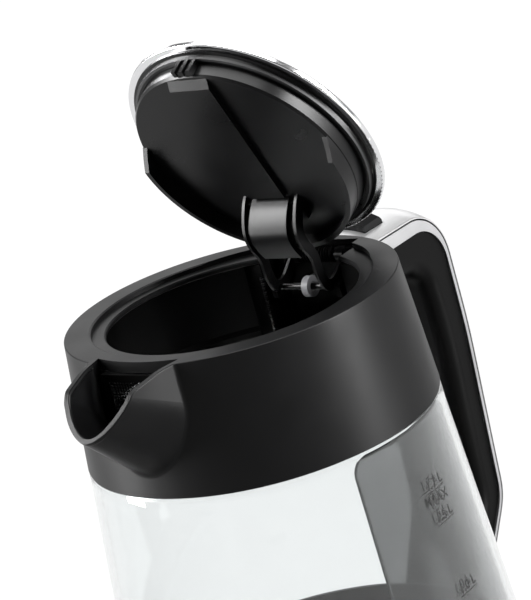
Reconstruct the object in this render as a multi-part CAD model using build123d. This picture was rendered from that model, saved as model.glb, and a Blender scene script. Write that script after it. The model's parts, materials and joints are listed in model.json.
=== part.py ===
from build123d import *
import math
import os

# Electric kettle: glass jug with a black collar and spout, a metal-faced handle, a lid on a gooseneck
# hinge, and a separate power base. Millimetres, +Z up, spout towards -X, handle towards +X, symmetric
# about Y = 0. Origin: centre of the plane that the power base's feet stand on. The lid is drawn closed
# and then turned to its open rest position.

# ---- driving dimensions ----
TOP_Z = 228.0            # top of the collar
COLLAR_R = 66.0          # outer radius of the collar at its top
TAPER = 0.0873           # the body widens by this much for each mm downwards (5 degrees)
COLLAR_H = 51.0          # height of the collar
COLLAR_WALL = 2.2
GLASS_WALL = 2.6
GLASS_BOTTOM_Z = 44.0
NECK_H = 12.0            # glass neck that stands inside the collar
BASE_R = 82.0            # power base
BASE_TOP_Z = 20.5
FOOT_H = 2.0
RING_TOP_Z = 64.0        # top of the kettle's bottom ring
REST_GAP = 0.1           # kettle to base

RECESS_R = 55.3          # lid recess in the collar's top
RECESS_DEPTH = 2.0
MOUTH_R = 50.1           # clear opening
PLATE_T = 4.3            # collar's top plate
BRIDGE_R = 61.6          # top plate's edge where the spout opens

LID_R = 53.7
LID_OPEN = 62.06         # degrees from closed to the open rest position
PIVOT_X = 59.1
PIVOT_DROP = 5.6         # hinge pin below the collar's top
PIN_R = 1.5
RUN_CLEAR = 0.05         # radial clearance of the hinge bores

HANDLE_HALF = 19.2       # half width of the handle's light frame
GRIP_HALF = 18.2
STRAP_ROUND = 0.3         # rounding of the strap's long outer edges
STRAP_EDGE = 0.9         # strap's thickness at its edges
STRAP_DOME = 4.2         # rise of the strap's outer face at its middle
CORE_HALF = 17.6         # black core between the frame's two side plates

PIVOT_Z = TOP_Z - PIVOT_DROP
COLLAR_BOTTOM_Z = TOP_Z - COLLAR_H
NECK_TOP_Z = COLLAR_BOTTOM_Z + NECK_H

parts = {}


# ---- helpers ----
def body_r(z):
    """Outer radius of the kettle's tapering body at height z."""
    return COLLAR_R + TAPER * (TOP_Z - z)


def turned(*points, arc=360):
    """Solid of revolution about Z from a closed outline of (radius, z) points."""
    face = make_face(Plane.XZ * Polyline(*points, close=True))
    return revolve(face, Axis.Z, arc)


def disc(r, z0, z1, x=0.0, y=0.0):
    return Pos(x, y, (z0 + z1) / 2) * Cylinder(r, z1 - z0)


def block(x0, x1, y0, y1, z0, z1):
    return Pos((x0 + x1) / 2, (y0 + y1) / 2, (z0 + z1) / 2) * Box(x1 - x0, y1 - y0, z1 - z0)


def slab(points, half, radii=None):
    """Outline of (x, z) points, with optional corner radii, made into a slab from -half to +half in Y."""
    wire = FilletPolyline(*points, radius=radii, close=True) if radii else Polyline(*points, close=True)
    return extrude(make_face(Plane.XZ * wire), half, both=True)


def rod_y(r, x, z, y0, y1):
    return Pos(x, (y0 + y1) / 2, z) * Rot(90, 0, 0) * Cylinder(r, y1 - y0)


def around(count, radius, start=0.0):
    """Centres of count equally spaced places on a circle."""
    angles = [math.radians(start + 360 * i / count) for i in range(count)]
    return [(radius * math.cos(a), radius * math.sin(a)) for a in angles]


def wall_cone(offset, z0, z1):
    """Solid cone that follows the body's taper, its radius smaller than the body's by offset."""
    return turned((0, z0), (body_r(z0) - offset, z0), (body_r(z1) - offset, z1), (0, z1))


def opened(shape):
    """Turn a piece of the closed lid to the open rest position."""
    return shape.rotate(Axis((PIVOT_X, 0, PIVOT_Z), (0, 1, 0)), LID_OPEN)


def screw(x, y, z_head, head_h, length, head_r=2.6, shank_r=1.3):
    """Pan-head screw standing on Z: head from z_head, shank going on from it."""
    z_mid = z_head + head_h
    return disc(head_r, z_head, z_mid, x, y) + disc(shank_r, z_mid, z_mid + length, x, y)


def coil(radius, wire_r, pitch, turns, centre, axis_dir):
    """Coil spring with the given wire, its axis starting at centre."""
    path = Helix(pitch, pitch * turns, radius)
    section = Plane(origin=path @ 0, z_dir=path % 0) * Circle(wire_r)
    spring = sweep(section, path=path, is_frenet=True)
    return Plane(origin=centre, z_dir=axis_dir) * spring


# ---- power base ----
PLATE_Z = FOOT_H
BASE_SCREW_R = 58.0
POST_TOP_Z = BASE_TOP_Z - 2.2
GLAND_Z = 10.6


def base_shell():
    skin = turned(
        (BASE_R, PLATE_Z), (BASE_R - 0.4, 12.0), (BASE_R - 2.2, 18.0), (BASE_R - 5.4, BASE_TOP_Z),
        (26.0, BASE_TOP_Z), (26.0, POST_TOP_Z), (BASE_R - 6.2, POST_TOP_Z), (BASE_R - 4.2, 16.6),
        (BASE_R - 2.6, 11.8), (BASE_R - 2.4, PLATE_Z),
    )
    for x, y in around(4, BASE_SCREW_R, 45):
        skin += disc(4.0, 5.0, POST_TOP_Z + 0.5, x, y) - disc(1.5, 4.0, 15.0, x, y)
    return skin - Pos(BASE_R, 0, GLAND_Z) * Rot(0, 90, 0) * Cylinder(5.1, 16)


def base_plate():
    plate = turned(
        (0, PLATE_Z), (BASE_R - 2.6, PLATE_Z), (BASE_R - 2.6, PLATE_Z + 2.4), (36.0, PLATE_Z + 2.4),
        (36.0, 13.0), (33.6, 13.0), (33.6, PLATE_Z + 2.4), (0, PLATE_Z + 2.4),
    )
    for x, y in around(4, BASE_SCREW_R, 45):
        plate -= disc(2.8, PLATE_Z - 1, PLATE_Z + 1.4, x, y) + disc(1.7, PLATE_Z, 6.0, x, y)
    return plate


parts["base_shell"] = base_shell()
parts["base_plate"] = base_plate()
parts["base_feet"] = Compound([fillet((disc(6.5, 0, FOOT_H, x, y)).edges().group_by(Axis.Z)[0], 0.6)
                               for x, y in around(5, 70.0, 36)])
parts["base_connector"] = turned(
    (2.2, PLATE_Z + 2.4), (18.0, PLATE_Z + 2.4), (18.0, POST_TOP_Z), (25.8, POST_TOP_Z), (25.8, BASE_TOP_Z),
    (12.0, BASE_TOP_Z), (12.0, 33.2), (10.6, 34.6), (2.2, 34.6),
)
parts["base_contacts"] = Compound([
    disc(2.2, 8.0, 33.4),
    turned((12.0, 23.0), (12.6, 23.0), (12.6, 25.4), (12.0, 25.4)),
    turned((12.0, 28.0), (12.6, 28.0), (12.6, 30.4), (12.0, 30.4)),
])
parts["base_screws"] = Compound([screw(x, y, PLATE_Z, 1.4, 9.0) for x, y in around(4, BASE_SCREW_R, 45)])
parts["base_cord_gland"] = Pos(0, 0, GLAND_Z) * Rot(0, 90, 0) * turned(
    (2.8, BASE_R - 7.0), (6.0, BASE_R - 7.0), (6.0, BASE_R - 4.7), (5.0, BASE_R - 4.7), (5.0, BASE_R + 0.1),
    (6.2, BASE_R + 0.1), (5.6, BASE_R + 3.0), (2.8, BASE_R + 3.0),
)

# ---- kettle's lower half ----
RING_BOTTOM_Z = BASE_TOP_Z + REST_GAP
RING_FACE = ((body_r(RING_TOP_Z) + 1.4, RING_TOP_Z), (body_r(30) + 0.9, 30.0), (83.2, 23.6))
SOCKET_R = 19.0
SOCKET_BORE = 13.0
ELEMENT_R = 52.0
PLATE_TOP_Z = GLASS_BOTTOM_Z - 2.5

parts["bottom_ring"] = turned(
    *RING_FACE, (81.0, RING_BOTTOM_Z),
    (68.0, RING_BOTTOM_Z), (68.0, 22.8), (79.6, 23.0), (81.0, 26.0), (81.3, 34.0), (81.3, GLASS_BOTTOM_Z),
    (body_r(GLASS_BOTTOM_Z) - 0.1, GLASS_BOTTOM_Z), (body_r(RING_TOP_Z) - 0.1, RING_TOP_Z),
)
parts["heating_plate"] = turned((0, 40.0), (81.0, 40.0), (81.0, PLATE_TOP_Z), (0, PLATE_TOP_Z))
parts["glass_seal"] = turned(
    (76.6, PLATE_TOP_Z), (81.2, PLATE_TOP_Z), (81.2, GLASS_BOTTOM_Z), (79.1, GLASS_BOTTOM_Z),
    (78.7, GLASS_BOTTOM_Z), (78.4, 48.0), (77.2, 48.0),
)
parts["heating_element"] = Rot(0, 0, 200) * turned(
    (ELEMENT_R - 4, 40.0), (ELEMENT_R - 4, 36.0), (ELEMENT_R - 2, 34.0), (ELEMENT_R + 2, 34.0),
    (ELEMENT_R + 4, 36.0), (ELEMENT_R + 4, 40.0), arc=318,
)
parts["thermal_control"] = turned(
    (SOCKET_R + 0.4, 24.0), (29.0, 24.0), (29.0, 40.0), (0, 40.0), (0, 37.6), (SOCKET_R + 0.4, 37.6),
) + block(28.0, 44.0, -9.0, 9.0, 26.0, 36.0)
parts["bimetal_disc"] = Pos(36.0, 0, 38.0) * (Cylinder(7.0, 0.8) + Pos(0, 0, -1.2) * Cylinder(1.6, 1.6))
parts["bottom_cover"] = turned(
    (SOCKET_R + 0.6, 21.4), (67.8, 21.4), (67.8, 23.6), (SOCKET_R + 6, 23.6), (SOCKET_R + 6, 24.0),
    (SOCKET_R + 0.6, 24.0),
)
COVER_SCREWS = around(3, 64.0, 60)
for x, y in COVER_SCREWS:
    parts["bottom_cover"] -= disc(1.6, 20.0, 25.0, x, y) + disc(3.0, 20.0, 22.4, x, y)
parts["bottom_screws"] = Compound([screw(x, y, 21.5, 0.9, 6.0) for x, y in COVER_SCREWS])

parts["connector_socket"] = turned(
    (SOCKET_BORE, 21.4), (SOCKET_R, 21.4), (SOCKET_R, 37.2), (0, 37.2), (0, 35.4), (SOCKET_BORE, 35.4),
    (SOCKET_BORE, 31.6), (SOCKET_BORE + 1.4, 31.6), (SOCKET_BORE + 1.4, 27.0), (SOCKET_BORE, 27.0),
)
parts["socket_contacts"] = turned(
    (SOCKET_BORE + 0.2, 27.0), (SOCKET_BORE + 1.4, 27.0), (SOCKET_BORE + 1.4, 31.6),
    (SOCKET_BORE + 0.2, 31.6),
)

# ---- glass, gasket and level panel ----
STEP = 0.2               # glass to collar, at the body's outer face
NECK_STEP = COLLAR_WALL + 0.1


def glass_outline():
    z0 = GLASS_BOTTOM_Z
    z1 = COLLAR_BOTTOM_Z - 0.2
    inner_bend = z1 - 2.0
    return (
        (body_r(z0) - STEP, z0), (body_r(z1) - STEP, z1), (body_r(z1) - NECK_STEP, z1),
        (body_r(NECK_TOP_Z) - NECK_STEP, NECK_TOP_Z), (body_r(NECK_TOP_Z) - NECK_STEP - 2.2, NECK_TOP_Z),
        (body_r(z1) - NECK_STEP - 2.2, z1), (body_r(inner_bend) - STEP - GLASS_WALL, inner_bend),
        (body_r(z0) - STEP - GLASS_WALL, z0),
    )


parts["glass_jug"] = turned(*glass_outline())
parts["collar_gasket"] = turned(
    (body_r(NECK_TOP_Z) - NECK_STEP, NECK_TOP_Z), (body_r(NECK_TOP_Z) - NECK_STEP - 2.6, NECK_TOP_Z),
    (body_r(NECK_TOP_Z) - NECK_STEP - 2.6, NECK_TOP_Z + 1.6),
    (body_r(NECK_TOP_Z + 1.6) - NECK_STEP, NECK_TOP_Z + 1.6),
)

PANEL_HALF_ANGLE = 26.0
PANEL_Z = (72.0, 174.6)


def level_panel():
    """Curved scale panel against the glass, on the side seen to the left of the handle."""
    inset = STEP + GLASS_WALL
    z0, z1 = PANEL_Z
    shell = turned((body_r(z0) - inset, z0), (body_r(z1) - inset, z1), (body_r(z1) - inset - 0.6, z1),
                   (body_r(z0) - inset - 0.6, z0))
    half = body_r((z0 + z1) / 2) * math.sin(math.radians(PANEL_HALF_ANGLE))
    outline = RectangleRounded(2 * half, z1 - z0, 7.0)
    window = extrude(Plane.XZ * Pos(0, (z0 + z1) / 2) * outline, 100)
    return shell & window


parts["level_panel"] = level_panel()

# ---- collar with its spout ----
SPOUT_ROOT_X = -52.0             # plane inside the collar where the spout's outer surface starts
LIP_SLOPE = math.radians(46.9)   # slant of the spout's lip
LIP_TOP = (-82.8, -2.4)          # (x, z below the collar's top) where the spout's edge turns down
LIP_CURVE = ((14.6, 6.3), (12.4, 10.3), (9.2, 14.6), (5.0, 18.2), (0.0, 20.0))  # (y, down the slant)
LIP_SIDE = 2.0                   # length of the lip's straight sides
ROOT_SIDE_HALF = 24.8            # the same at the root: half width and length of the straight sides
ROOT_SIDE = 21.4
LIP_PAST = 0.6
EDGE_START_X = -69.0             # where the spout's top edges begin to slope down
SPOUT_WALL = 2.1
JUNCTION_R = 1.8                 # rounding between spout and collar
RIM_R = 0.5
POCKET_HALF = 20.0               # half width of the hinge pocket at the back


def round_part(half, side, depth):
    """Points of a half ellipse below the straight sides, from +Y to -Y."""
    turns = [math.radians(angle) for angle in (30, 60, 90, 120, 150)]
    return [(half * math.cos(t), -side - (depth - side) * math.sin(t)) for t in turns]


def u_outline(top_half, side_half, rise, side, bottom):
    """U shape: straight sides narrowing downwards to side_half, then a curve through the bottom points."""
    lean = (top_half - side_half) / (rise + side)
    right = (side_half, -side)
    left = (-side_half, -side)
    curve = Spline(right, *bottom, left, tangents=((-lean, -1), (-lean, 1)))
    return Wire([Line((top_half, rise), right), curve, Line(left, (-top_half, rise)),
                 Line((-top_half, rise), (top_half, rise))])


def spout_block(wall):
    """Solid spout, its surface moved in by wall, from inside the collar to just past the lip."""
    out = (-math.sin(LIP_SLOPE), math.cos(LIP_SLOPE))
    lip_origin = (LIP_TOP[0] + LIP_PAST * out[0], 0, TOP_Z + LIP_TOP[1] + LIP_PAST * out[1])
    lip = Plane(origin=lip_origin, x_dir=(0, -1, 0), z_dir=(out[0], 0, out[1]))
    root = Plane(origin=(SPOUT_ROOT_X, 0, TOP_Z), x_dir=(0, -1, 0), z_dir=(-1, 0, 0))
    root_half = ROOT_SIDE_HALF - wall
    root_outline = root * u_outline(22.1 - wall, root_half, 8.0, ROOT_SIDE,
                                    round_part(root_half, ROOT_SIDE, 59.3 - 1.38 * wall))
    upper = [(y - wall * 0.9, -s + wall * 0.45) for y, s in LIP_CURVE[:-1]]
    tip = (0, wall - LIP_CURVE[-1][1])
    bottom = upper + [tip] + [(-y, z) for y, z in reversed(upper)]
    lip_outline = lip * u_outline(17.4 - wall, 16.0 - wall, 6.0, LIP_SIDE, bottom)
    return Solid.make_loft([root_outline, lip_outline], ruled=True)


def spout_profile():
    """Side outline that trims the spout: level top, edges sloping down a little, slanted lip."""
    low = (LIP_TOP[0] - 30 * math.cos(LIP_SLOPE), LIP_TOP[1] - 30 * math.sin(LIP_SLOPE))
    points = [(-40, 0.0), (EDGE_START_X, 0.0), LIP_TOP, low, (low[0], -70), (-40, -70)]
    corners = [0.1, 30, 5, 0.1, 0.1, 0.1]
    wire = FilletPolyline(*[(x, TOP_Z + z) for x, z in points], radius=corners, close=True)
    return extrude(make_face(Plane.XZ * wire), 40, both=True)


def is_junction(edge):
    """Whether an edge lies where the spout meets the collar's outer face."""
    places = [edge @ t for t in (0.2, 0.5, 0.8)]
    on_cone = all(abs(math.hypot(p.X, p.Y) - body_r(p.Z)) < 0.02 for p in places)
    return on_cone and places[1].X < 0 and COLLAR_BOTTOM_Z + 3 < places[1].Z < TOP_Z - 2


def is_rim(edge):
    """Whether an edge is part of the outer line round the collar's top and the spout's lip."""
    places = [edge @ t for t in (0.1, 0.5, 0.9)]
    across = edge.geom_type == GeomType.LINE and abs(places[0].X - places[2].X) < 0.01
    level = all(abs(p.Z - TOP_Z) < 0.01 and math.hypot(p.X, p.Y) > 65 for p in places)
    sloping = all(-88 < p.X < -64.4 and abs(p.Y) > 12 and p.Z > TOP_Z - 7 for p in places)
    lip_x, lip_z = LIP_TOP
    rise = [(p.Z - TOP_Z - lip_z) * math.cos(LIP_SLOPE) for p in places]
    slanted = all(abs(r - (p.X - lip_x) * math.sin(LIP_SLOPE)) < 0.02 for r, p in zip(rise, places))
    return (level or sloping or slanted) and not across


def top_collar():
    z0 = COLLAR_BOTTOM_Z
    under = TOP_Z - PLATE_T
    solid = wall_cone(0.0, z0, TOP_Z) + (spout_block(0.0) & spout_profile())
    solid = fillet([e for e in solid.edges() if is_junction(e)], JUNCTION_R)
    solid = fillet([e for e in solid.edges() if is_rim(e)], RIM_R)
    bore = turned(
        (0, z0 - 12), (body_r(z0 - 12) - COLLAR_WALL, z0 - 12), (body_r(under - 1) - COLLAR_WALL, under - 1),
        (body_r(under) - COLLAR_WALL - 1.0, under), (MOUTH_R + 0.5, under), (MOUTH_R, under + 0.5),
        (MOUTH_R, TOP_Z - RECESS_DEPTH - 0.5), (MOUTH_R + 0.5, TOP_Z - RECESS_DEPTH),
        (RECESS_R, TOP_Z - RECESS_DEPTH), (RECESS_R + 0.2, TOP_Z - 0.4), (RECESS_R + 0.9, TOP_Z),
        (RECESS_R + 0.9, TOP_Z + 1), (0, TOP_Z + 1),
    )
    bridge = disc(BRIDGE_R, under - 10, TOP_Z + 20)
    bridge = fillet(bridge.edges().sort_by(Axis.Z)[-1:], 1.0)
    collar = solid - bore - (spout_block(SPOUT_WALL) - bridge)
    rear_recess = Pos(11.2, 0, TOP_Z) * Cylinder(49.0, 2 * RECESS_DEPTH)
    hinge_well = block(30.0, 60.6, -POCKET_HALF, POCKET_HALF, under - 1, TOP_Z + 1)
    hinge_well += block(30.0, 63.4, -POCKET_HALF, POCKET_HALF, under - 1, TOP_Z - 2.2)
    return collar - rear_recess - hinge_well


parts["top_collar"] = top_collar()


def collar_liner():
    z0 = NECK_TOP_Z + 1.6
    z1 = TOP_Z - PLATE_T
    liner = turned(
        (61.6, z1), (62.6, z1), (63.4, z0 + 6), (body_r(z0) - COLLAR_WALL - 0.2, z0 + 2),
        (body_r(z0) - COLLAR_WALL - 0.2, z0), (61.0, z0), (61.0, z0 + 2), (61.8, z0 + 4),
    )
    liner -= block(-80, -40, -17.4, 17.4, z0 + 2.2, z1 + 1)
    return liner - block(40, 80, -POCKET_HALF, POCKET_HALF, z0 + 2.2, z1 + 1)


parts["collar_liner"] = collar_liner()

# ---- handle ----
# open outlines in (x, z below the collar's top), from the collar round the back to the bottom ring
OUTER_PATH = ((60, -5.0), (119.2, -6.6), (121.3, -62.0), (117.6, -139.5), (80.0, -185.0))
STRAP_IN_PATH = ((60, -5.9), (118.3, -7.5), (120.4, -62.0), (116.7, -139.2), (79.4, -184.4))
GROOVE_PATH = ((60, -6.6), (117.6, -8.2), (119.7, -62.0), (116.0, -139.0), (79.0, -184.0))
FRAME_IN_PATH = ((60, -12.6), (116.2, -13.4), (118.0, -62.0), (114.4, -138.8), (77.6, -183.2))
CAVITY_PATH = ((60, -25.4), (104.0, -26.0), (107.4, -62.0), (104.8, -137.0), (79.0, -173.0))
GRIP_IN_PATH = ((60, -29.0), (101.0, -29.5), (104.2, -62.0), (101.5, -136.0), (76.0, -171.5))
TUBE_PATH = ((66.6, -19.5), (108.5, -19.5), (112.4, -62.0), (110.0, -138.0), (96.0, -155.4))
GRIP_ROUND = 6.5
GRIP_WALL = 3.4
STEAM_PORT_R = 3.6
STEAM_PORT_Y = 9.6
BUTTON_X = (75.0, 88.0)
BUTTON_HALF = 12.6
BUTTON_GAP = 0.4


def handle_line(points, radii):
    """Open handle outline, rounded at its inner points."""
    return FilletPolyline(*[(x, TOP_Z + z) for x, z in points], radius=radii)


def between(outer, inner, half):
    """Slab between two open outlines, closed straight across at both ends."""
    caps = [Line(outer @ 0, inner @ 0), Line(outer @ 1, inner @ 1)]
    wire = Wire(list(outer.edges()) + list(inner.edges()) + caps)
    return extrude(Plane.XZ * Face(wire), half, both=True)


outer_line = handle_line(OUTER_PATH, [24.0, 260.0, 22.0])
strap_inner_line = handle_line(STRAP_IN_PATH, [23.2, 260.0, 21.4])
groove_line = handle_line(GROOVE_PATH, [22.4, 260.0, 21.0])
frame_inner_line = handle_line(FRAME_IN_PATH, [18.0, 260.0, 20.0])
cavity_line = handle_line(CAVITY_PATH, [11.0, 200.0, 18.0])
grip_inner_line = handle_line(GRIP_IN_PATH, [11.0, 200.0, 18.0])

kettle_keepout = wall_cone(-0.1, 10, TOP_Z + 10)
kettle_keepout += turned((0, 15), (82.8, 15), *reversed(RING_FACE), (0, RING_TOP_Z))
steam_port = Pos(68, STEAM_PORT_Y, TOP_Z - 19.5) * Rot(0, 90, 0) * Cylinder(STEAM_PORT_R, 14)
button_well = block(BUTTON_X[0] - BUTTON_GAP, BUTTON_X[1] + BUTTON_GAP, -BUTTON_HALF - BUTTON_GAP,
                    BUTTON_HALF + BUTTON_GAP, TOP_Z - 20, TOP_Z + 10)


def on_line(edge, line):
    """Whether an edge of the handle runs along an outline, whichever its Y."""
    places = [edge @ t for t in (0.1, 0.5, 0.9)]
    return all(line.distance_to(Vector(p.X, p.Z)) < 0.05 for p in places)


def handle_grip():
    grip = between(frame_inner_line, grip_inner_line, GRIP_HALF)
    sides = [e for e in grip.edges() if abs(abs(e.center().Y) - GRIP_HALF) < 0.01]
    grip = fillet([e for e in sides if on_line(e, grip_inner_line)], GRIP_ROUND)
    cavity = between(frame_inner_line, cavity_line, GRIP_HALF - GRIP_WALL) - block(55, 70, -20, 20, 190, 230)
    return grip - cavity - kettle_keepout - steam_port


def tube_along(path, outer_r, inner_r):
    start = Plane(origin=path @ 0, z_dir=path % 0)
    return sweep(start * Circle(outer_r), path=path) - sweep(start * Circle(inner_r), path=path)


parts["handle_grip"] = handle_grip()
core = between(strap_inner_line, frame_inner_line, CORE_HALF)
frame_slab = between(groove_line, frame_inner_line, HANDLE_HALF)


def domed_strap():
    """Strap of one section, flat inside and domed outside, run along the handle's outer line."""
    path = Plane.XZ * outer_line
    low = (HANDLE_HALF, -STRAP_EDGE)
    high = (HANDLE_HALF, -STRAP_ROUND)
    dome = ThreePointArc(high, (0, STRAP_DOME), (-high[0], high[1]))
    other_low = (-low[0], low[1])
    outline = Wire([Line(other_low, low), Line(low, high), dome, Line(dome @ 1, other_low)])
    section = fillet(Face(outline).vertices().sort_by(Axis.Y)[-2:], STRAP_ROUND)
    return sweep(Plane(origin=path @ 0, x_dir=(0, 1, 0), z_dir=path % 0) * section, path=path)


strap = domed_strap() - block(70, 100, -HANDLE_HALF - 1, HANDLE_HALF + 1, 20, 42.6)
parts["handle_frame"] = frame_slab - core - kettle_keepout
parts["handle_core"] = core - kettle_keepout - button_well
parts["handle_strap"] = strap - kettle_keepout - button_well
tube_line = Plane.XZ * handle_line(TUBE_PATH, [9.0, 150.0, 16.0])
parts["steam_tube"] = Pos(0, STEAM_PORT_Y, 0) * tube_along(tube_line, STEAM_PORT_R - 0.1, STEAM_PORT_R - 1.1)
parts["top_collar"] -= steam_port

HANDLE_SCREW_Y = -7.4
HANDLE_SCREW_Z = (TOP_Z - 24.2, TOP_Z - 16.2)
parts["handle_screws"] = Compound([Pos(62.0, HANDLE_SCREW_Y, z) * Rot(0, 90, 0) * screw(0, 0, 0, 1.6, 8.0)
                                   for z in HANDLE_SCREW_Z])
screw_holes = [Pos(67.5, HANDLE_SCREW_Y, z) * Rot(0, 90, 0) * Cylinder(1.4, 14) for z in HANDLE_SCREW_Z]
for hole in screw_holes:
    parts["top_collar"] -= hole
    parts["handle_grip"] -= hole

# ---- lid button on the handle's top ----
SPRING_R = 3.4


def lid_button():
    x0, x1 = BUTTON_X
    z0 = TOP_Z - 5.6
    profile = [(x0, z0), (x0, z0 + 5.6), (x0 + 1.6, z0 + 7.2), (x1 - 3.0, z0 + 7.2), (x1, z0 + 3.4), (x1, z0)]
    cap = slab(profile, BUTTON_HALF)
    ends = [e for e in cap.edges().filter_by(Axis.X) if e.center().Z > z0 + 6]
    cap = chamfer(ends, 2.2)
    return cap + block(x0 + 2.5, x1 - 2.5, -4.6, 4.6, TOP_Z - 19.0, z0 + 0.5)


parts["lid_button"] = lid_button()
button_mid_x = sum(BUTTON_X) / 2
parts["button_spring"] = coil(SPRING_R, 0.45, 1.5, 3.5, (button_mid_x, 0, TOP_Z - 24.9), (0, 0, 1))

# ---- power switch under the handle ----
SWITCH_X = 90.0
SWITCH_Z = 35.0
SWITCH_HALF = 10.0
SWITCH_PIN_R = 1.2

housing = block(76, 97, -14.0, 14.0, 27.0, 42.5)
housing -= block(85.5, 99, -SWITCH_HALF - 0.5, SWITCH_HALF + 0.5, 29.0, 41.0)
parts["switch_housing"] = housing - kettle_keepout - rod_y(SWITCH_PIN_R, SWITCH_X, SWITCH_Z, -15, 15)
LEVER = [(87.0, 38.0), (92.0, 39.2), (104.0, 38.0), (107.5, 36.4), (107.5, 34.6), (92.0, 32.0), (87.0, 32.6)]
lever = slab(LEVER, SWITCH_HALF, [0.8, 2.0, 2.0, 0.8, 0.8, 2.0, 0.8])
parts["power_switch"] = lever - rod_y(SWITCH_PIN_R + RUN_CLEAR, SWITCH_X, SWITCH_Z, -15, 15)
parts["switch_pin"] = rod_y(SWITCH_PIN_R, SWITCH_X, SWITCH_Z, -14, 14)

# ---- hinge housing inside the collar ----
POST_W = 8.2
POST_X = 45.0
POST_BOTTOM = -38.0


def hinge_housing():
    z0 = TOP_Z + POST_BOTTOM
    z1 = TOP_Z - PLATE_T
    outside = block(POST_X, 66, -POCKET_HALF - POST_W, POCKET_HALF + POST_W, z0, z1)
    outside &= disc(60.9, z0, z1)
    pocket = block(POST_X - 1, 70, -POCKET_HALF, POCKET_HALF, z0 + 2.4, z1 + 1)
    return outside - pocket


parts["hinge_housing"] = hinge_housing()
parts["hinge_pin"] = rod_y(PIN_R, PIVOT_X, PIVOT_Z, -19.0, 19.0)
BEARING = [(44.6, -12.6), (50.0, -13.6), (55.4, -6.0), (57.0, -2.6), (61.4, -2.6), (62.0, -9.0),
           (55.6, -18.0), (45.6, -19.4)]


def pin_bearing(y0, y1):
    corners = [1.4, 3.0, 3.0, 1.4, 1.4, 3.0, 3.0, 1.4]
    plate = slab([(x, TOP_Z + z) for x, z in BEARING], (y1 - y0) / 2, corners)
    return Pos(0, (y0 + y1) / 2, 0) * plate - rod_y(PIN_R, PIVOT_X, PIVOT_Z, -25, 25)


parts["hinge_bearings"] = Compound([pin_bearing(14.6, 17.2), pin_bearing(-17.2, -14.6)])
parts["hinge_spring"] = coil(2.9, 0.5, 1.3, 12.5, (PIVOT_X, -8.2, PIVOT_Z), (0, 1, 0))

# ---- lid, drawn closed ----
LID_Z = TOP_Z + 1.0      # plane of the metal rim's lower edge
BELL_Z = LID_Z - 9.3     # flat underside
SKIRT_Z = LID_Z - 15.2   # rear skirt's edge
ARM_HALF = 13.4
ARM_T = 1.3
WEB_HALF = 9.1

lid = {}
DOME_R = 395.0           # the lid's top is part of a large sphere
DOME_H = 6.0
METAL_T = 0.7


def dome(inset, floor_z):
    """Lens under the lid's domed top, all its faces moved in by inset."""
    sphere = Pos(0, 0, LID_Z + DOME_H - DOME_R) * Sphere(DOME_R - inset)
    return disc(LID_R - inset, floor_z, LID_Z + 10) & sphere


def lid_cap():
    outside = dome(0.0, LID_Z)
    outside = fillet(outside.edges().filter_by(GeomType.CIRCLE), 0.6)
    return outside - dome(METAL_T, LID_Z + METAL_T) - disc(50.9, LID_Z - 1, LID_Z + 1)


lid["lid_cap"] = lid_cap()
lid["lid_rim_ring"] = turned(
    (50.8, LID_Z + 1.8), (50.8, LID_Z - 0.6), (49.6, LID_Z - 0.9), (49.4, LID_Z - 1.8), (48.2, LID_Z - 2.0),
    (48.2, LID_Z - 3.0), (47.1, LID_Z - 3.0), (47.1, LID_Z + 2.2),
)
lid["lid_seal"] = turned((48.2, LID_Z - 2.0), (49.4, LID_Z - 1.8), (49.2, LID_Z - 2.8), (48.2, LID_Z - 3.0))


def lid_bell():
    bell = turned(
        (47.0, LID_Z + 2.2), (46.7, BELL_Z + 1.0), (45.9, BELL_Z), (0, BELL_Z), (0, BELL_Z + 2.0),
        (44.4, BELL_Z + 2.0), (45.0, LID_Z + 2.2),
    )
    skirt = turned((46.4, BELL_Z + 1.0), (46.3, SKIRT_Z), (44.2, SKIRT_Z), (44.2, BELL_Z + 1.0))
    ramp = slab([(-10.0, BELL_Z), (-2.0, SKIRT_Z), (60.0, SKIRT_Z), (60.0, BELL_Z + 1.0),
                 (-10.0, BELL_Z + 1.0)], 60)
    return bell + (skirt & ramp)


def band_cover():
    """Raised cover that runs from the front of the bell to the hinge bracket."""
    plan = Polyline((-45.6, -9.6), (20.2, -8.2), (20.2, 8.2), (-45.6, 9.6), close=True)
    band = extrude(Plane.XY.offset(BELL_Z - 2.0) * make_face(plan), 2.0)
    side = [(-44.8, BELL_Z), (-41.0, BELL_Z - 2.0), (21.0, BELL_Z - 2.0), (21.0, BELL_Z)]
    return band & slab(side, 12.0)


def shifted(points, distance):
    """Points moved sideways, to the left of the direction in which they run."""
    moved = []
    for i, (x, z) in enumerate(points):
        ax, az = points[max(i - 1, 0)]
        bx, bz = points[min(i + 1, len(points) - 1)]
        length = math.hypot(bx - ax, bz - az)
        moved.append((x - (bz - az) / length * distance, z + (bx - ax) / length * distance))
    return moved


def strip(points, near, far, y0, y1):
    """Curved bar whose two faces lie near and far from a line of (x, z below the collar's top) points."""
    first = [(x, TOP_Z + z) for x, z in shifted(points, near)]
    second = [(x, TOP_Z + z) for x, z in shifted(points, far)]
    ends = [Line(first[-1], second[-1]), Line(second[0], first[0])]
    wire = Wire([Spline(*first), ends[0], Spline(*reversed(second)), ends[1]])
    bar = extrude(Plane.XZ * Face(wire), (y1 - y0) / 2, both=True)
    return Pos(0, (y0 + y1) / 2, 0) * bar


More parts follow.
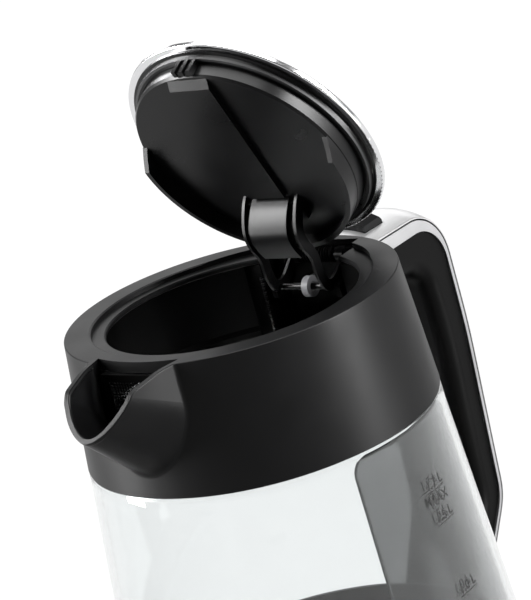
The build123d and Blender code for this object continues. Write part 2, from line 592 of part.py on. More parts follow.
WEB_LINE = [(21.2, -8.3), (22.6, -12.4), (25.2, -17.0), (28.3, -20.5), (32.6, -22.5), (37.6, -22.8),
            (42.3, -22.1)]
ARM_LINE = [(20.4, -8.3), (22.0, -11.6), (25.0, -15.9), (29.8, -20.4), (38.1, -22.2), (44.1, -22.0),
            (48.7, -23.9), (54.1, -25.3), (59.6, -24.4), (62.8, -19.6), (63.0, -13.0), (62.2, -6.6)]
ROLLER_X = 60.0
ROLLER_DROP = 21.6
ROLLER_R = 4.3
ROLLER_BORE = 2.0
CROSS_PIN_R = 1.4
LID_SCREW_X = 28.8
LID_SCREW_Y = (-6.0, 6.0)


def hinge_arms():
    bracket = strip(WEB_LINE, 0.0, 2.2, -WEB_HALF, WEB_HALF)
    bracket += strip(WEB_LINE[:-1], 1.9, 3.4, -ARM_HALF, ARM_HALF)
    for side in (-1, 1):
        y0, y1 = sorted((side * ARM_HALF, side * (ARM_HALF - ARM_T)))
        bracket += strip(ARM_LINE, 0.0, 4.6, y0, y1)
        bracket += rod_y(3.2, PIVOT_X, PIVOT_Z, *sorted((side * ARM_HALF, side * (ARM_HALF - 4.0))))
    bracket += block(22.6, 32.0, -ARM_HALF, ARM_HALF, BELL_Z - 2.6, BELL_Z)
    bracket -= block(15.0, 36.0, -20.0, 20.0, BELL_Z, BELL_Z + 8.0)
    for y in LID_SCREW_Y:
        bracket -= disc(1.3, BELL_Z - 4, BELL_Z + 3, LID_SCREW_X, y)
    bracket -= rod_y(PIN_R + RUN_CLEAR, PIVOT_X, PIVOT_Z, -20, 20)
    return bracket - rod_y(CROSS_PIN_R, ROLLER_X, TOP_Z - ROLLER_DROP, -20, 20)


lid["lid_bell"] = lid_bell()
for y in LID_SCREW_Y:
    lid["lid_bell"] -= disc(1.3, BELL_Z - 1, BELL_Z + 3, LID_SCREW_X, y)
lid["lid_band_cover"] = band_cover()
lid["lid_hinge_arms"] = hinge_arms()
lid["lid_screws"] = Compound([screw(LID_SCREW_X, y, BELL_Z - 3.8, 1.2, 5.0, 2.4, 1.3) for y in LID_SCREW_Y])
lid["hinge_cross_pin"] = rod_y(CROSS_PIN_R, ROLLER_X, TOP_Z - ROLLER_DROP, -ARM_HALF, ARM_HALF)
lid["hinge_roller"] = (rod_y(ROLLER_R, ROLLER_X, TOP_Z - ROLLER_DROP, -4.1, -1.1)
                       - rod_y(ROLLER_BORE, ROLLER_X, TOP_Z - ROLLER_DROP, -5, 0))
tooth_ribs = [block(-49.6, -46.0, y - 0.8, y + 0.8, LID_Z - 9.6, LID_Z - 3.2) for y in (-3.6, 0.0, 3.6)]
lid["lid_snap_tooth"] = block(-48.4, -46.5, -4.4, 4.4, LID_Z - 9.2, LID_Z - 3.2)
for rib in tooth_ribs:
    lid["lid_snap_tooth"] += rib
lid["lid_snap_tooth"] -= disc(47.02, LID_Z - 12, LID_Z)

for name, shape in lid.items():
    parts[name] = opened(shape)

# ---- spout filter ----
FILTER_X = (-62.8, -60.6)
FILTER_HALF = 16.6
FILTER_Z = (NECK_TOP_Z + 4.2, TOP_Z - PLATE_T - 0.4)
WINDOW_HALF = 13.4
filter_window = (-WINDOW_HALF, WINDOW_HALF, FILTER_Z[0] + 3.0, FILTER_Z[1] - 3.0)
parts["filter_frame"] = block(*FILTER_X, -FILTER_HALF, FILTER_HALF, *FILTER_Z)
parts["filter_frame"] -= block(-70, -50, *filter_window)
parts["filter_mesh"] = block(-61.9, -61.5, *filter_window)

os.makedirs("parts", exist_ok=True)
for name, shape in parts.items():
    export_step(shape, f"parts/{name}.step")
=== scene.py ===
import bpy
import bmesh
import json
import math
from mathutils import Matrix, Vector


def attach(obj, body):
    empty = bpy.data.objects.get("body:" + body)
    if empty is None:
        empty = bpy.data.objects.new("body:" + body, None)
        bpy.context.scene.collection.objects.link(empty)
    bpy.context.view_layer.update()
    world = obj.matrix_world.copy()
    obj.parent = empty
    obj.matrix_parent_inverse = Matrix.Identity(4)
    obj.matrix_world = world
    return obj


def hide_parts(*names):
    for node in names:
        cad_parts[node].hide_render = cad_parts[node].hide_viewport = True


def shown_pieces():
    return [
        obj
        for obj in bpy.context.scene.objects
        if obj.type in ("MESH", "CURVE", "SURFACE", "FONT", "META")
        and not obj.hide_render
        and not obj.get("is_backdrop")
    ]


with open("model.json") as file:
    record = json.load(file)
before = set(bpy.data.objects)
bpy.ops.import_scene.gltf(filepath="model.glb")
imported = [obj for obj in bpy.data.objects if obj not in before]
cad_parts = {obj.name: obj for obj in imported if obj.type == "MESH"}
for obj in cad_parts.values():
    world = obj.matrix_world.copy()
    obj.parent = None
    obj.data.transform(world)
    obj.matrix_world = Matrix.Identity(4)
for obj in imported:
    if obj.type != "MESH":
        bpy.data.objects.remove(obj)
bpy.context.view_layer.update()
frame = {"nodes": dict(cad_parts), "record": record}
nodes = frame["nodes"]

MM = 0.001
TOP = 228.0                # collar top, mm
COLLAR_R = 66.0            # outer radius at the collar's top
TAPER = 0.0873             # growth of the radius per mm downwards
COLLAR_BOTTOM = 177.0


def body_r(z):
    """Outer radius of the tapering body at height z, mm."""
    return COLLAR_R + TAPER * (TOP - z)


# ---------------------------------------------------------------- materials
class Graph:
    """Small helper around one material's node tree."""

    def __init__(self, name):
        self.mat = bpy.data.materials.new(name)
        self.mat.use_nodes = True
        self.tree = self.mat.node_tree
        self.shader = next(n for n in self.tree.nodes if n.type == "BSDF_PRINCIPLED")

    def add(self, kind, **settings):
        node = self.tree.nodes.new(kind)
        for key, value in settings.items():
            if key in node.inputs.keys():
                node.inputs[key].default_value = value
            else:
                setattr(node, key, value)
        return node

    def link(self, a, b):
        self.tree.links.new(a, b)

    def coords(self, scale=(1, 1, 1)):
        source = self.add("ShaderNodeTexCoord")
        mapping = self.add("ShaderNodeMapping", Scale=scale)
        self.link(source.outputs["Object"], mapping.inputs["Vector"])
        return mapping.outputs["Vector"]

    def noise(self, vector, scale, detail=3.0, rough=0.5):
        node = self.add("ShaderNodeTexNoise", Scale=scale, Detail=detail, Roughness=rough)
        self.link(vector, node.inputs["Vector"])
        return node.outputs["Fac"]

    def ramp(self, value, low, high, out_low, out_high):
        node = self.add("ShaderNodeMapRange")
        node.inputs["From Min"].default_value = low
        node.inputs["From Max"].default_value = high
        node.inputs["To Min"].default_value = out_low
        node.inputs["To Max"].default_value = out_high
        self.link(value, node.inputs["Value"])
        return node.outputs["Result"]

    def mix(self, value, colour_a, colour_b):
        node = self.add("ShaderNodeMix", data_type="RGBA")
        self.link(value, node.inputs[0])
        node.inputs[6].default_value = (*colour_a, 1)
        node.inputs[7].default_value = (*colour_b, 1)
        return node.outputs[2]

    def bump(self, height, strength, distance):
        node = self.add("ShaderNodeBump", Strength=strength, Distance=distance)
        self.link(height, node.inputs["Height"])
        self.link(node.outputs["Normal"], self.shader.inputs["Normal"])


def plastic(name, colour, rough, spec=0.3, grain=1500.0, bump=0.05, vary=0.25):
    g = Graph(name)
    v = g.coords()
    fine = g.noise(v, grain, 2.0)
    broad = g.noise(v, 45.0, 3.0)
    dark = tuple(c * (1 - vary) for c in colour)
    light = tuple(c * (1 + vary) for c in colour)
    g.link(g.mix(broad, dark, light), g.shader.inputs["Base Color"])
    g.link(g.ramp(broad, 0.3, 0.7, rough - 0.035, rough + 0.035), g.shader.inputs["Roughness"])
    if bump:
        g.bump(fine, bump, 0.00006)
    g.shader.inputs["Specular IOR Level"].default_value = spec
    return g.mat


def metal(name, colour, rough, stretch=(1, 1, 1), scale=900.0, bump=0.15, vary=0.06, depth=0.00003):
    g = Graph(name)
    v = g.coords(stretch)
    streak = g.noise(v, scale, 4.0, 0.6)
    broad = g.noise(g.coords(), 30.0, 2.0)
    dark = tuple(c * (1 - vary) for c in colour)
    light = tuple(min(1.0, c * (1 + vary)) for c in colour)
    g.link(g.mix(streak, dark, light), g.shader.inputs["Base Color"])
    g.link(g.ramp(broad, 0.3, 0.7, rough * 0.85, rough * 1.15), g.shader.inputs["Roughness"])
    g.bump(streak, bump, depth)
    g.shader.inputs["Metallic"].default_value = 1.0
    return g.mat


def rubber(name, colour, rough=0.7):
    g = Graph(name)
    v = g.coords()
    fine = g.noise(v, 1500.0, 4.0)
    g.link(g.mix(fine, tuple(c * 0.8 for c in colour), tuple(c * 1.2 for c in colour)),
           g.shader.inputs["Base Color"])
    g.link(g.ramp(fine, 0.2, 0.8, rough - 0.08, rough + 0.08), g.shader.inputs["Roughness"])
    g.bump(fine, 0.2, 0.00008)
    g.shader.inputs["Specular IOR Level"].default_value = 0.25
    return g.mat


def clear_glass(name):
    g = Graph(name)
    waves = g.noise(g.coords((1, 1, 0.4)), 16.0, 1.0)
    g.bump(waves, 0.25, 0.0012)
    g.link(g.ramp(g.noise(g.coords(), 60.0), 0.4, 0.8, 0.0, 0.012), g.shader.inputs["Roughness"])
    g.shader.inputs["Base Color"].default_value = (0.97, 0.985, 0.985, 1)
    g.shader.inputs["Transmission Weight"].default_value = 1.0
    g.shader.inputs["IOR"].default_value = 1.47
    tint = g.add("ShaderNodeVolumeAbsorption", Density=50.0)
    tint.inputs["Color"].default_value = (0.55, 0.575, 0.58, 1)
    output = next(n for n in g.tree.nodes if n.type == "OUTPUT_MATERIAL")
    g.link(tint.outputs["Volume"], output.inputs["Volume"])
    return g.mat


def tinted_panel(name):
    g = Graph(name)
    # the broad noise swings the tint between dark and light patches: partly the panel's uneven tint, partly
    # painted reflections and highlights
    broad = g.noise(g.coords((1, 1, 0.5)), 22.0, 2.0)
    g.link(g.mix(g.ramp(broad, 0.3, 0.7, 0, 1), (0.10, 0.102, 0.105), (0.27, 0.274, 0.278)),
           g.shader.inputs["Base Color"])
    g.link(g.ramp(broad, 0.3, 0.7, 0.03, 0.08), g.shader.inputs["Roughness"])
    g.bump(broad, 0.3, 0.0015)
    g.shader.inputs["Transmission Weight"].default_value = 0.85
    g.shader.inputs["IOR"].default_value = 1.45
    return g.mat


M = {
    "collar": plastic("collar_plastic", (0.0016, 0.0016, 0.0017), 0.42, 0.095),
    "spout_in": plastic("liner_plastic", (0.0008, 0.0008, 0.0008), 0.32, 0.06, bump=0.0),
    "lid_seal": rubber("lid_seal_rubber", (0.010, 0.010, 0.0105), 0.45),
    "lid_black": plastic("lid_plastic", (0.0016, 0.0016, 0.0017), 0.30, 0.13, bump=0.0, vary=0.1),
    "grip": plastic("grip_plastic", (0.0008, 0.0008, 0.0008), 0.40, 0.045, grain=1200.0, bump=0.03),
    "base": plastic("base_plastic", (0.0025, 0.0025, 0.0027), 0.38, 0.14),
    "roller": plastic("roller_plastic", (0.10, 0.10, 0.105), 0.45, 0.15, vary=0.06),
    "glass": clear_glass("jug_glass"),
    "panel": tinted_panel("scale_panel"),
    "chrome": metal("chrome_trim", (0.66, 0.66, 0.67), 0.14, scale=300.0, bump=0.02, vary=0.02),
    "strap": metal("brushed_strap", (0.54, 0.54, 0.545), 0.30, (0.04, 1, 0.04), 2600.0, 0.25, 0.08),
    "side": metal("satin_side", (0.36, 0.36, 0.365), 0.36, (0.3, 1, 0.3), 1600.0, 0.1, 0.04),
    "steel": metal("plain_steel", (0.62, 0.61, 0.60), 0.28, (1, 0.15, 1), 1800.0, 0.15, 0.08),
    "dark_steel": metal("dark_steel", (0.045, 0.045, 0.047), 0.35, (1, 0.15, 1), 1800.0, 0.15, 0.1),
    # near black, dull and hardly glossy: painted shade for the hinge pocket, the hinge parts in it and the
    # filter weave in the spout
    "recess_shade": plastic("recess_shade_plastic", (0.0006, 0.0006, 0.0006), 0.6, 0.02),
    "plate": metal("brushed_plate", (0.66, 0.65, 0.64), 0.32, (1, 0.03, 1), 1500.0, 0.25, 0.09),
    "brass": metal("brass_contact", (0.72, 0.52, 0.22), 0.25, scale=700.0, vary=0.1),
    "print": rubber("printed_marks", (0.004, 0.004, 0.004), 0.6),
    "rubber": rubber("black_rubber", (0.018, 0.018, 0.018)),
    "seal": rubber("grey_silicone", (0.16, 0.16, 0.17), 0.55),
}

FINISH = {
    "base_shell": "base", "base_plate": "base", "base_feet": "rubber", "base_connector": "lid_black",
    "base_contacts": "brass", "base_screws": "steel", "base_cord_gland": "rubber",
    "connector_socket": "lid_black", "socket_contacts": "brass",
    "bottom_ring": "base", "heating_plate": "plate", "glass_seal": "rubber", "heating_element": "steel",
    "thermal_control": "lid_black", "bimetal_disc": "steel", "bottom_cover": "base", "bottom_screws": "steel",
    "glass_jug": "glass", "collar_gasket": "rubber", "level_panel": "panel", "top_collar": "collar",
    "collar_liner": "spout_in", "handle_grip": "grip", "handle_frame": "side", "handle_strap": "strap",
    "steam_tube": "seal", "handle_screws": "steel", "button_spring": "steel", "switch_housing": "base",
    # the hinge housing, bearings and spring take the darker, duller painted-shade finish of the pocket they
    # sit in
    "switch_pin": "steel", "hinge_housing": "recess_shade", "hinge_pin": "dark_steel", "hinge_bearings": "recess_shade",
    "hinge_spring": "recess_shade", "handle_core": "grip",
    "lid_cap": "chrome", "lid_rim_ring": "lid_black", "lid_seal": "lid_seal", "lid_bell": "lid_black",
    "lid_band_cover": "lid_black", "lid_hinge_arms": "lid_black", "lid_screws": "steel",
    "hinge_cross_pin": "lid_black", "hinge_roller": "roller", "lid_snap_tooth": "lid_black",
    "lid_button": "lid_black", "power_switch": "lid_black", "filter_frame": "spout_in",
    "filter_mesh": "steel",
}

for name, key in FINISH.items():
    if name in nodes:
        mesh = nodes[name].data
        mesh.materials.clear()
        mesh.materials.append(M[key])


def second_finish(name, key, chosen):
    """Gives the faces of a CAD node whose centre (in mm) is chosen another finish."""
    mesh = nodes[name].data
    mesh.materials.append(M[key])
    for face in mesh.polygons:
        if chosen(face.center / MM):
            face.material_index = len(mesh.materials) - 1


def in_well(centre):
    """Whether a face of the collar lies inside the hinge pocket."""
    return centre.x > 28 and abs(centre.y) < 20.3 and TOP - 5.2 < centre.z < TOP - 0.3


# the pocket's faces take the darker, duller finish: shade painted into the recess
second_finish("top_collar", "recess_shade", in_well)

# ---------------------------------------------------------------- mesh helpers
SLOTS = {part["node"]: part["material_slot"] for part in frame["record"]["subparts"]}


def piece(name, bm_or_mesh, material, body, stands_for=(), slot=None, smooth=True):
    """Makes an object of a mesh given in mm, rides it on its body and gives it a material."""
    if isinstance(bm_or_mesh, bmesh.types.BMesh):
        mesh = bpy.data.meshes.new(name)
        bmesh.ops.recalc_face_normals(bm_or_mesh, faces=bm_or_mesh.faces)
        bm_or_mesh.to_mesh(mesh)
        bm_or_mesh.free()
    else:
        mesh = bm_or_mesh
    mesh.transform(Matrix.Scale(MM, 4))
    mesh.materials.clear()
    mesh.materials.append(M[material])
    for face in mesh.polygons:
        face.use_smooth = smooth
    obj = bpy.data.objects.new(name, mesh)
    bpy.context.scene.collection.objects.link(obj)
    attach(obj, body)
    if stands_for:
        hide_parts(*stands_for)
        slot = slot or SLOTS[stands_for[0]]


def lathe(profile, segments=224):
    """Closed (radius, z) outline turned about Z."""
    bm = bmesh.new()
    rings = []
    for i in range(segments):
        a = 2 * math.pi * i / segments
        rings.append([bm.verts.new((r * math.cos(a), r * math.sin(a), z)) for r, z in profile])
    count = len(profile)
    for i in range(segments):
        here, there = rings[i], rings[(i + 1) % segments]
        for j in range(count):
            k = (j + 1) % count
            bm.faces.new((here[j], there[j], there[k], here[k]))
    return bm


def eased(points, cut=0.35):
    """Closed outline with every corner replaced by a small three-point round."""
    out = []
    count = len(points)
    for i, (x, z) in enumerate(points):
        (ax, az), (bx, bz) = points[i - 1], points[(i + 1) % count]
        la, lb = math.hypot(ax - x, az - z), math.hypot(bx - x, bz - z)
        c = min(cut, la / 3, lb / 3)
        p = (x + (ax - x) / la * c, z + (az - z) / la * c)
        q = (x + (bx - x) / lb * c, z + (bz - z) / lb * c)
        mid = (0.25 * p[0] + 0.5 * x + 0.25 * q[0], 0.25 * p[1] + 0.5 * z + 0.25 * q[1])
        out += [p, mid, q]
    return out


def dense(points, step=4.0):
    """Closed outline with points added on its long runs."""
    out = []
    for i, (x, z) in enumerate(points):
        bx, bz = points[(i + 1) % len(points)]
        count = max(1, int(math.hypot(bx - x, bz - z) / step))
        out += [(x + (bx - x) * k / count, z + (bz - z) * k / count) for k in range(count)]
    return out


def wrapped(verts, azimuth, z_mid, inset):
    """Bends flat (across, up, out) points round the body: across runs along the circle."""
    a0 = math.radians(azimuth)
    for v in verts:
        across, rise, out = v.co
        z = z_mid + rise
        r = body_r(z) - inset + out
        a = a0 + across / body_r(z_mid)
        v.co = (r * math.cos(a), r * math.sin(a), z)


# ---------------------------------------------------------------- glass jug, scale panel and marks
STEP = 0.2                 # how far the glass stands back from the collar's surface
GLASS_WALL = 2.6
GLASS_BOTTOM = 44.0
NECK_TOP = 189.0
NECK_IN = 2.3              # how far the neck inside the collar is set in
NECK_WALL = 2.2
PANEL_BOTTOM = 72.0
PANEL_TOP = 174.6
PANEL_HALF_ANGLE = 25.9    # degrees
PANEL_CORNER = 7.0
PANEL_THICKNESS = 0.56
PANEL_AZIMUTH = -90.0
PANEL_COLUMNS = 44


def jug_glass():
    """The jug with its neck, as one smooth lathe."""
    z0, z1 = GLASS_BOTTOM + 0.01, COLLAR_BOTTOM - 0.2
    bend = z1 - 2.0
    neck_r = body_r(NECK_TOP) - NECK_IN
    outline = [
        (body_r(z0) - STEP, z0), (body_r(z1) - STEP, z1), (body_r(z1) - NECK_IN, z1),
        (neck_r, NECK_TOP - 0.01), (neck_r - NECK_WALL, NECK_TOP - 0.01),
        (body_r(z1) - NECK_IN - NECK_WALL, z1), (body_r(bend) - STEP - GLASS_WALL, bend),
        (body_r(z0) - STEP - GLASS_WALL, z0),
    ]
    piece("jug_glass", lathe(dense(eased(outline, 0.5), 6.0), 256), "glass", "kettle", ["glass_jug"])


def rounded_grid(half_w, half_h, corner, step=1.5):
    """Flat grid of points with a rounded-rectangle outline, as rows of (across, up)."""
    rows = []
    count = int(2 * half_h / step)
    for i in range(count + 1):
        t = -half_h + 2 * half_h * i / count
        over = max(0.0, abs(t) - (half_h - corner))
        edge = half_w - corner + math.sqrt(max(corner ** 2 - over ** 2, 0.0))
        rows.append([(edge * (2 * k / PANEL_COLUMNS - 1), t) for k in range(PANEL_COLUMNS + 1)])
    return rows


def scale_panel():
    """Tinted panel against the inner face of the glass, with rounded corners."""
    mid = (PANEL_BOTTOM + PANEL_TOP) / 2
    half = math.radians(PANEL_HALF_ANGLE) * body_r(mid)
    bm = bmesh.new()
    rows = rounded_grid(half, (PANEL_TOP - PANEL_BOTTOM) / 2 - 0.05, PANEL_CORNER)
    grids = [[[bm.verts.new((x, y, out)) for x, y in row] for row in rows] for out in (0.0, -PANEL_THICKNESS)]
    front, rear = grids
    for grid in grids:
        for a, b in zip(grid, grid[1:]):
            for k in range(PANEL_COLUMNS):
                bm.faces.new((a[k], a[k + 1], b[k + 1], b[k]))
    for a, b, c, d in zip(front, front[1:], rear, rear[1:]):
        bm.faces.new((a[0], b[0], d[0], c[0]))
        bm.faces.new((a[-1], b[-1], d[-1], c[-1]))
    for row_f, row_r in ((front[0], rear[0]), (front[-1], rear[-1])):
        for k in range(PANEL_COLUMNS):
            bm.faces.new((row_f[k], row_f[k + 1], row_r[k + 1], row_r[k]))
    wrapped(bm.verts, PANEL_AZIMUTH, mid, STEP + GLASS_WALL + 0.02)
    piece("scale_panel", bm, "panel", "kettle", ["level_panel"])


MARK_AZ = -88.5
MARK_SIZE = 5.6
MARK_LIFT = 0.9            # a number stands this far above its line
RULE_WIDTH = 11.5
RULE_HEIGHT = 0.42
PRINT_HALF = 0.03          # half the thickness of the print
PRINT_IN = STEP - PRINT_HALF


def mark(name, text, z):
    """Printed level mark on the glass: text bent round the outside of the jug."""
    curve = bpy.data.curves.new(name, "FONT")
    curve.body = text
    curve.size = MARK_SIZE
    curve.align_x = "CENTER"
    curve.extrude = PRINT_HALF
    curve.offset = 0.09
    temp = bpy.data.objects.new(name + "_text", curve)
    mesh = bpy.data.meshes.new_from_object(temp)
    bpy.data.objects.remove(temp)
    bm = bmesh.new()
    bm.from_mesh(mesh)
    bmesh.ops.triangulate(bm, faces=bm.faces)
    wrapped(bm.verts, MARK_AZ, z, PRINT_IN)
    piece(name, bm, "print", "kettle", slot="black_gloss", smooth=False)


def rule(name, z):
    """Printed line under a level mark."""
    bm = bmesh.new()
    steps = 14
    low, high = -RULE_HEIGHT / 2, RULE_HEIGHT / 2
    corners = ((low, -PRINT_HALF), (low, PRINT_HALF), (high, PRINT_HALF), (high, -PRINT_HALF))
    rows = [[bm.verts.new((-RULE_WIDTH / 2 + RULE_WIDTH * k / steps, y, out)) for k in range(steps + 1)]
            for y, out in corners]
    for i in range(4):
        here, there = rows[i], rows[(i + 1) % 4]
        for k in range(steps):
            bm.faces.new((here[k], here[k + 1], there[k + 1], there[k]))
    for k in (0, steps):
        bm.faces.new([rows[i][k] for i in range(4)])
    wrapped(bm.verts, MARK_AZ, z, PRINT_IN)
    piece(name, bm, "print", "kettle", slot="black_gloss", smooth=False)


jug_glass()
scale_panel()
mark("mark_17", "1.7 L", TOP - 78.9 + MARK_LIFT)
rule("line_17", TOP - 78.9)
mark("mark_max", "MAX", TOP - 84.6)
mark("mark_15", "1.5 L", TOP - 92.0 + MARK_LIFT)
rule("line_15", TOP - 92.0)
for index, (litres, drop) in enumerate((("1.0 L", 121.5), ("0.5 L", 150.5))):
    mark("mark_low%d" % index, litres, TOP - drop + MARK_LIFT)
    rule("line_low%d" % index, TOP - drop)

# ---------------------------------------------------------------- spout bead, rack and filter
LIP_SLOPE = math.radians(46.9)
DOWN_SLOPE = Vector((-math.cos(LIP_SLOPE), 0.0, -math.sin(LIP_SLOPE)))
LIP_TOP = Vector((-82.8, 0.0, TOP - 2.4))
LIP_LENGTH = 20.0          # from the lip's top down the slant to its tip
KEEL = Vector((0.725, 0.0, -0.687))    # along the spout's underside, back to the body
BEAD_R = 1.2
BEAD_INSET = 0.98          # bead's centre line, in from the spout's outer surface
BEAD_DEPTH = 1.22          # and below its edge
# the spout's edges on the +Y side: (x, y, z) along the top, then (down the slant, y) round the lip
TOP_EDGE = [(-63.6, 20.4, TOP), (-66.4, 19.8, TOP), (-69.5, 19.15, TOP - 0.15), (-73.0, 18.4, TOP - 0.85),
            (-77.0, 17.55, TOP - 1.6), (-80.6, 16.8, TOP - 2.1)]
LIP_EDGE = [(0.0, 16.35), (1.2, 16.14), (3.4, 15.65), (6.3, 14.6), (8.4, 13.6), (10.3, 12.4), (12.6, 10.9),
            (14.6, 9.2), (16.6, 7.2), (18.2, 5.0), (19.5, 2.4), (LIP_LENGTH, 0.0)]


def tube(name, points, radius, material, body, slot, resolution, sides):
    """Smooth round bar along points given in mm."""
    curve = bpy.data.curves.new(name, "CURVE")
    curve.dimensions = "3D"
    curve.bevel_depth = radius
    curve.bevel_resolution = sides
    curve.use_fill_caps = True
    spline = curve.splines.new("NURBS")
    spline.points.add(len(points) - 1)
    for place, p in zip(spline.points, points):
        place.co = (*p, 1)
    spline.order_u = 4
    spline.use_endpoint_u = True
    spline.resolution_u = resolution
    temp = bpy.data.objects.new(name + "_path", curve)
    mesh = bpy.data.meshes.new_from_object(temp)
    bpy.data.objects.remove(temp)
    piece(name, mesh, material, body, slot=slot)


def lip_bead():
    """Rolled rim round the spout's lip and along its two top edges."""
    down = Vector((0, 0, -1))
    half = []
    for x, y, z in TOP_EDGE:
        half.append(Vector((x, y, z)) + Vector((0.18, -0.98, 0)) * BEAD_INSET + down * BEAD_DEPTH)
    for (s0, y0), (s1, y1), (s2, y2) in zip(LIP_EDGE, LIP_EDGE[1:], LIP_EDGE[2:]):
        along = (DOWN_SLOPE * (s2 - s0) + Vector((0, y2 - y0, 0))).normalized()
        inward = along.cross(DOWN_SLOPE.cross(Vector((0, 1, 0)))).normalized()
        inward *= -1 if inward.y > 0 else 1
        share = min(1.0, s1 / 4)
        edge = LIP_TOP + DOWN_SLOPE * s1 + Vector((0, y1, 0))
        half.append(edge + inward * BEAD_INSET + (KEEL * share + down * (1 - share)) * BEAD_DEPTH)
    tip = LIP_TOP + DOWN_SLOPE * (LIP_LENGTH - BEAD_INSET) + KEEL * BEAD_DEPTH
    other = [Vector((p.x, -p.y, p.z)) for p in reversed(half)]
    tube("spout_lip_bead", half + [tip] + other, BEAD_R, "collar", "kettle", "black_moulding", 8, 5)


def boxes(name, spans, material, body, slot, bevel=0.12):
    """Several small bevelled blocks in one piece; spans are (low corner, high corner) in mm."""
    bm = bmesh.new()
    for low, high in spans:
        made = bmesh.ops.create_cube(bm, size=1.0)["verts"]
        for v in made:
            v.co = Vector([(low[i] + high[i]) / 2 + v.co[i] * (high[i] - low[i]) for i in range(3)])
    bmesh.ops.bevel(bm, geom=bm.edges[:], offset=bevel, segments=2, profile=0.6, affect="EDGES")
    piece(name, bm, material, body, slot=slot, smooth=False)


def post_rack():
    """Fine teeth moulded along the inner edge of the hinge's left post, and the bar behind them."""
    teeth, pitch, half_tooth = 12, 1.9, 0.45
    spans = []
    for k in range(teeth):
        z = TOP - 10.5 - pitch * k
        spans.append(((43.9, 19.2, z - half_tooth), (45.2, 20.9, z + half_tooth)))
    spans.append(((44.4, 20.4, TOP - 33.0), (45.2, 21.2, TOP - 9.6)))
    boxes("post_rack", spans, "lid_black", "kettle", "black_gloss")


FILTER_X = -61.7           # plane of the spout filter
FILTER_HALF = 13.4
FILTER_LOW = NECK_TOP + 7.2
FILTER_HIGH = TOP - 7.7
WIRE_R = 0.16
WIRE_PITCH = 1.3
WIRE_WAVE = 0.13           # how far each wire bends over and under the others
WIRE_SIDES = 5


def wire_filter():
    """Woven mesh in the spout filter's window."""
    bm = bmesh.new()

    def wire(start, end, across, phase):
        steps = 40
        length = (end - start).length
        previous = None
        for k in range(steps + 1):
            t = k / steps
            at = start.lerp(end, t)
            at.x += WIRE_WAVE * math.sin(phase + math.pi * length * t / WIRE_PITCH)
            ring = []
            for j in range(WIRE_SIDES):
                a = 2 * math.pi * j / WIRE_SIDES
                side = Vector((math.cos(a), 0, 0)) + across * math.sin(a)
                ring.append(bm.verts.new(at + side * WIRE_R))
            if previous:
                for j in range(WIRE_SIDES):
                    k = (j + 1) % WIRE_SIDES
                    bm.faces.new((previous[j], previous[k], ring[k], ring[j]))
            else:
                bm.faces.new(ring)
            previous = ring
        bm.faces.new(list(reversed(previous)))

    for i in range(int(2 * FILTER_HALF / WIRE_PITCH)):
        y = -FILTER_HALF + WIRE_PITCH / 2 + WIRE_PITCH * i
        wire(Vector((FILTER_X, y, FILTER_LOW)), Vector((FILTER_X, y, FILTER_HIGH)), Vector((0, 1, 0)),
             math.pi * (i % 2))
    for i in range(int((FILTER_HIGH - FILTER_LOW) / WIRE_PITCH)):
        z = FILTER_LOW + WIRE_PITCH / 2 + WIRE_PITCH * i
        wire(Vector((FILTER_X, -FILTER_HALF, z)), Vector((FILTER_X, FILTER_HALF, z)), Vector((0, 0, 1)),
             math.pi * ((i + 1) % 2))
    # the weave takes the darker, duller finish so that it sinks into the spout's inside: painted shade
    piece("filter_weave", bm, "recess_shade", "filter", ["filter_mesh"])


lip_bead()
post_rack()
wire_filter()

# ---------------------------------------------------------------- camera
AZIMUTH = math.radians(-49.578)
ELEVATION = math.radians(17.164)
ROLL = math.radians(-14.837)
DISTANCE = 0.9842
TARGET = Vector((19.71, 0.0, TOP - 9.17)) * MM

back = Vector((math.cos(ELEVATION) * math.sin(AZIMUTH), -math.cos(ELEVATION) * math.cos(AZIMUTH),
               math.sin(ELEVATION)))
right = Vector((math.cos(AZIMUTH), math.sin(AZIMUTH), 0.0))
up = back.cross(right)
cam_right = right * math.cos(ROLL) + up * math.sin(ROLL)
cam_up = up * math.cos(ROLL) - right * math.sin(ROLL)

camera_data = bpy.data.cameras.new("camera")
camera_data.lens = 151.67
camera_data.sensor_width = 36.0
camera_data.clip_end = 60.0
camera = bpy.data.objects.new("camera", camera_data)
bpy.context.scene.collection.objects.link(camera)
turn = Matrix((cam_right, cam_up, back)).transposed().to_4x4()
camera.matrix_world = Matrix.Translation(TARGET + back * DISTANCE) @ turn
bpy.context.scene.camera = camera


# ---------------------------------------------------------------- stage and light
FLOOR_HALF = 8.0           # metres


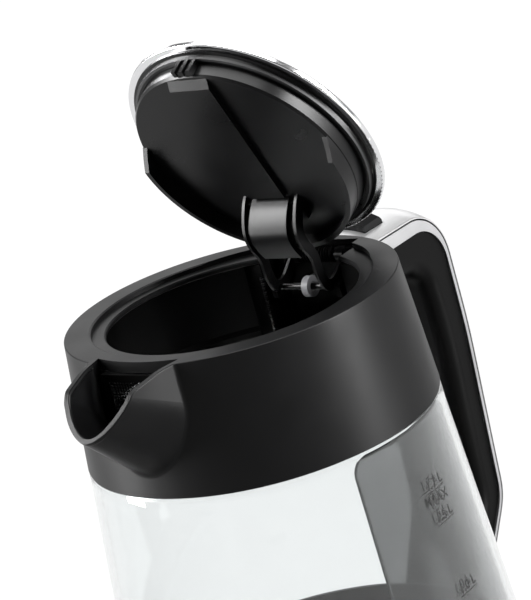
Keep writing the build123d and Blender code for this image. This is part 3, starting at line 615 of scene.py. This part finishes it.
def floor():
    g = Graph("pale_floor")
    grain = g.noise(g.coords(), 60.0, 4.0)
    g.link(g.mix(grain, (0.84, 0.84, 0.84), (0.88, 0.88, 0.88)), g.shader.inputs["Base Color"])
    g.shader.inputs["Roughness"].default_value = 0.9
    g.shader.inputs["Specular IOR Level"].default_value = 0.0
    mesh = bpy.data.meshes.new("floor")
    corners = [(-FLOOR_HALF, -FLOOR_HALF, 0), (FLOOR_HALF, -FLOOR_HALF, 0), (FLOOR_HALF, FLOOR_HALF, 0),
               (-FLOOR_HALF, FLOOR_HALF, 0)]
    mesh.from_pydata(corners, [], [(0, 1, 2, 3)])
    obj = bpy.data.objects.new("floor", mesh)
    obj.data.materials.append(g.mat)
    bpy.context.scene.collection.objects.link(obj)
    obj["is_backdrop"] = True


def softbox(name, at, aim, size, power):
    data = bpy.data.lights.new(name, "AREA")
    data.shape = "RECTANGLE"
    data.size, data.size_y = size
    data.energy = power
    obj = bpy.data.objects.new(name, data)
    obj.location = at
    obj.rotation_euler = (Vector(aim) - Vector(at)).to_track_quat("-Z", "Y").to_euler()
    bpy.context.scene.collection.objects.link(obj)
    return obj


def polar(azimuth, distance, height):
    """A place around the kettle; azimuth is measured from the camera's side, positive to its right."""
    facing = math.atan2(back.y, back.x) + math.radians(azimuth)
    return (distance * math.cos(facing), distance * math.sin(facing), height)


floor()
world = bpy.data.worlds.new("studio")
world.use_nodes = True
world.node_tree.nodes["Background"].inputs["Color"].default_value = (1.0, 1.0, 1.0, 1)
world.node_tree.nodes["Background"].inputs["Strength"].default_value = 0.22
bpy.context.scene.world = world
bpy.context.scene.view_settings.view_transform = "Standard"

MIDDLE = (0, 0, 0.18)
kettle_lights = [
    softbox("soft_top", (0.1, 0.1, 1.6), (0, 0, 0.2), (1.3, 1.3), 55.0),
    softbox("soft_left", polar(-95, 1.1, 0.45), MIDDLE, (0.30, 1.3), 80.0),
    softbox("soft_right", polar(68, 1.1, 0.50), MIDDLE, (0.24, 1.3), 70.0),
    softbox("soft_back", polar(180, 1.8, 0.9), MIDDLE, (1.8, 1.0), 9.0),
]
sun_data = bpy.data.lights.new("floor_light", "SUN")
sun_data.energy = 3.2
sun_data.angle = math.radians(40)
sun = bpy.data.objects.new("floor_light", sun_data)
bpy.context.scene.collection.objects.link(sun)

# the sun lights the floor alone and the soft boxes the kettle alone; soft_right also leaves the glass out,
# so that it draws no hard reflection there
lit_kettle = bpy.data.collections.new("lit_kettle")
lit_solids = bpy.data.collections.new("lit_solids")
lit_floor = bpy.data.collections.new("lit_floor")
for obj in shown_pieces():
    lit_kettle.objects.link(obj)
    if obj.name not in ("jug_glass", "scale_panel"):
        lit_solids.objects.link(obj)
lit_floor.objects.link(bpy.data.objects["floor"])
for light in kettle_lights:
    light.light_linking.receiver_collection = lit_solids if light.name == "soft_right" else lit_kettle
sun.light_linking.receiver_collection = lit_floor
